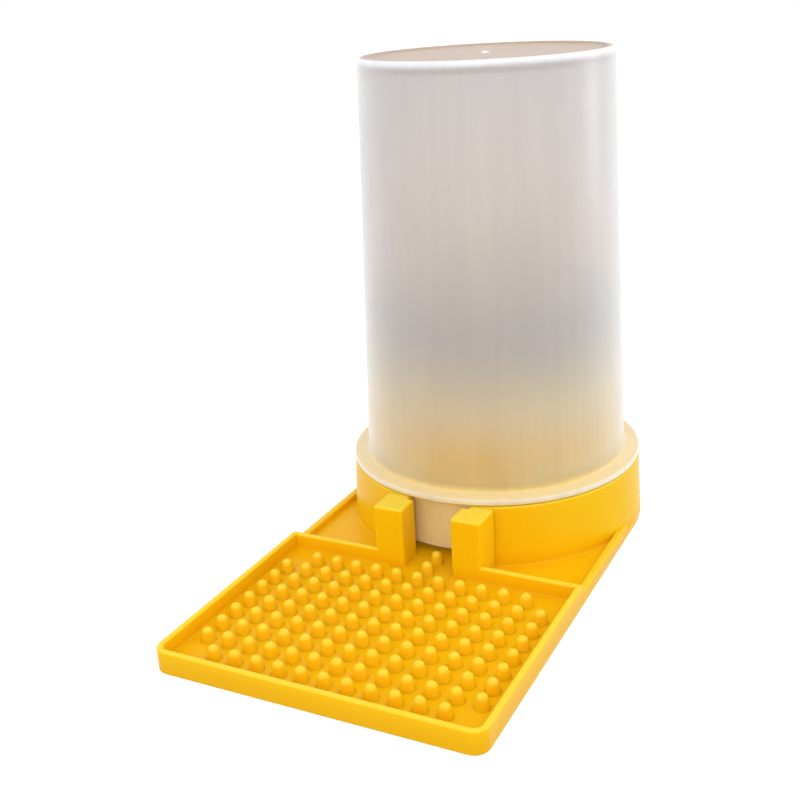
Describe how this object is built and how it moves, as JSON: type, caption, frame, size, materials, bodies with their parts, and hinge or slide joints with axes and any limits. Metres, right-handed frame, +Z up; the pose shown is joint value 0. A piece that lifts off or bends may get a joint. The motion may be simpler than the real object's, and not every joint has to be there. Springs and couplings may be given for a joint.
{
  "type": "entrance feeder",
  "caption": "Syrup feeder for a hive entrance: a pinned landing tray, a deck and round collar with a gate, and a lift-out frosted reservoir cup standing mouth down.",
  "frame": {"origin": "middle of the footprint, on the flat underside of the base", "axes": "+Z up, -Y towards the landing tray that goes into the hive entrance, +X to the right seen from behind the tray's front edge looking at the collar"},
  "size_m": [0.1, 0.1826, 0.1551],
  "materials": {
    "base_plastic": "moulded amber-yellow polypropylene, waxy semi-gloss",
    "reservoir_plastic": "frosted translucent natural polypropylene"
  },
  "bodies": {
    "base": {"tray_floor": "base_plastic", "deck_floor": "base_plastic", "front_rim": "base_plastic", "right_side_rim": "base_plastic", "left_side_rim": "base_plastic", "right_back_rim": "base_plastic", "left_back_rim": "base_plastic", "right_side_wall": "base_plastic", "left_side_wall": "base_plastic", "right_gate_post": "base_plastic", "left_gate_post": "base_plastic", "right_collar": "base_plastic", "left_collar": "base_plastic"},
    "reservoir": {"reservoir_wall": "reservoir_plastic", "reservoir_top": "reservoir_plastic", "seat_flange": "reservoir_plastic", "mouth_skirt": "reservoir_plastic"}
  },
  "joints": [
    {"name": "reservoir_lift", "type": "slide", "parent": "base", "child": "reservoir", "axis": [0, 0, 1], "range_m": [0, 0.06]}
  ]
}
